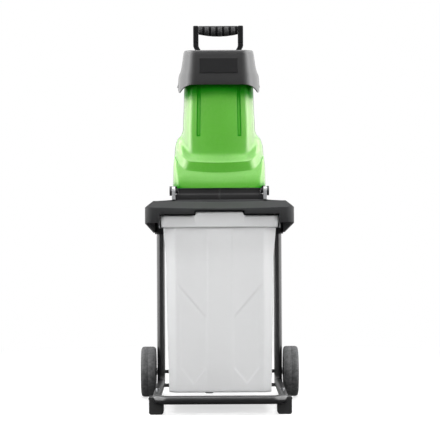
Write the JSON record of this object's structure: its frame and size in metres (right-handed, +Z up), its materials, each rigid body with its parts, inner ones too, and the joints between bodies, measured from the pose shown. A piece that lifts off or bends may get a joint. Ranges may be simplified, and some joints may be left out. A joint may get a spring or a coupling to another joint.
{
  "type": "garden shredder",
  "caption": "Electric garden shredder: green motor head with a hopper and carrying handle, hinged over a tray and pull-out collection box on a wheeled tube frame.",
  "frame": {"origin": "on the floor under the middle of the part", "axes": "+Z up, +X to the right seen from the front, +Y from the front bumper towards the wheels"},
  "size_m": [0.432, 0.5, 1.0123],
  "materials": {
    "frame_black": "gloss black paint",
    "bright_steel": "zinc plated",
    "sheet_steel": "plain sheet steel",
    "hinge_grey": "satin light grey",
    "foot_black": "matte black",
    "tray_grey": "fine moulded texture",
    "tyre_grey": "dull",
    "wheel_black": "satin",
    "box_clear": "translucent, frosted",
    "pad_dark": "matte",
    "housing_green": "semi gloss moulded green",
    "collar_grey": "fine moulded texture",
    "label_dark": "bare plate",
    "handle_black": "satin black",
    "cast_aluminium": "as cast",
    "core_steel": "laminated",
    "copper": "enamelled wire",
    "bakelite": "moulded brown",
    "panel_black": "matte black",
    "pin_brass": "plain",
    "start_green": "gloss",
    "stop_red": "gloss",
    "plunger_white": "natural nylon"
  },
  "bodies": {
    "chassis": {"left_leg": "frame_black", "right_leg": "frame_black", "front_bumper": "frame_black", "cross_bar": "frame_black", "axle": "bright_steel", "axle_washers": "bright_steel", "left_foot": "foot_black", "right_foot": "foot_black", "frame_bolts": "bright_steel", "tray": "tray_grey", "left_box_rail": "sheet_steel", "right_box_rail": "sheet_steel", "blade_housing": "tray_grey", "hinge_ears": "hinge_grey", "hinge_pins": "wheel_black", "lid_switch": "panel_black", "box_switch": "panel_black"},
    "left_wheel": {"left_tyre": "tyre_grey", "left_hub": "wheel_black", "left_hub_cap": "wheel_black"},
    "right_wheel": {"right_tyre": "tyre_grey", "right_hub": "wheel_black", "right_hub_cap": "wheel_black"},
    "box": {"collection_box": "box_clear", "box_pads": "pad_dark"},
    "head": {"front_shell": "housing_green", "rear_shell": "housing_green", "hopper_collar": "collar_grey", "label_plate": "label_dark", "hopper_chute": "collar_grey", "carry_handle": "handle_black", "handle_grip": "handle_black", "shell_screws": "bright_steel", "cutting_plate": "cast_aluminium", "hinge_arms": "sheet_steel", "lock_bracket": "sheet_steel", "motor_stator": "core_steel", "field_coils": "copper", "motor_end_frame": "cast_aluminium", "motor_studs": "bright_steel", "motor_bearings": "bright_steel", "brush_holders": "bakelite", "control_panel": "panel_black", "switch_block": "panel_black", "power_inlet": "panel_black", "inlet_pins": "pin_brass"},
    "rotor": {"rotor_shaft": "bright_steel", "armature": "core_steel", "commutator": "copper", "cooling_fan": "panel_black", "blade_disc": "sheet_steel", "blades": "bright_steel", "rotor_screws": "bright_steel"},
    "lock_knob": {"lock_knob": "handle_black"},
    "start_button": {"start_button": "start_green"},
    "stop_button": {"stop_button": "stop_red"},
    "reset_button": {"reset_button": "handle_black"},
    "lid_plunger": {"lid_plunger": "plunger_white"},
    "box_plunger": {"box_plunger": "plunger_white"}
  },
  "joints": [
    {"name": "head_hinge", "type": "hinge", "parent": "chassis", "child": "head", "pos_m": [0, -0.182, 0.562], "axis": [1, 0, 0], "range_deg": [0, 85]},
    {"name": "rotor_spin", "type": "hinge", "parent": "head", "child": "rotor", "pos_m": [0, 0.018, 0.6], "axis": [0, 0, 1], "continuous": true},
    {"name": "left_wheel_spin", "type": "hinge", "parent": "chassis", "child": "left_wheel", "pos_m": [-0.196, 0.181, 0.069], "axis": [1, 0, 0], "continuous": true},
    {"name": "right_wheel_spin", "type": "hinge", "parent": "chassis", "child": "right_wheel", "pos_m": [0.196, 0.181, 0.069], "axis": [1, 0, 0], "continuous": true},
    {"name": "box_slide", "type": "slide", "parent": "chassis", "child": "box", "axis": [0, -1, 0], "range_m": [0, 0.42]},
    {"name": "lock_knob_turn", "type": "hinge", "parent": "head", "child": "lock_knob", "pos_m": [0, 0.162, 0.585], "axis": [0, 0, 1], "continuous": true},
    {"name": "start_button_push", "type": "slide", "parent": "head", "child": "start_button", "axis": [0, -1, 0], "range_m": [0, 0.004], "stiffness_N_per_m": 400},
    {"name": "stop_button_push", "type": "slide", "parent": "head", "child": "stop_button", "axis": [0, -1, 0], "range_m": [0, 0.004], "stiffness_N_per_m": 400},
    {"name": "reset_button_push", "type": "slide", "parent": "head", "child": "reset_button", "axis": [0, -1, 0], "range_m": [0, 0.003], "stiffness_N_per_m": 400},
    {"name": "lid_plunger_push", "type": "slide", "parent": "chassis", "child": "lid_plunger", "axis": [0, 0, -1], "range_m": [0, 0.003], "stiffness_N_per_m": 400},
    {"name": "box_plunger_push", "type": "slide", "parent": "chassis", "child": "box_plunger", "axis": [0, 1, 0], "range_m": [0, 0.003], "stiffness_N_per_m": 400}
  ]
}
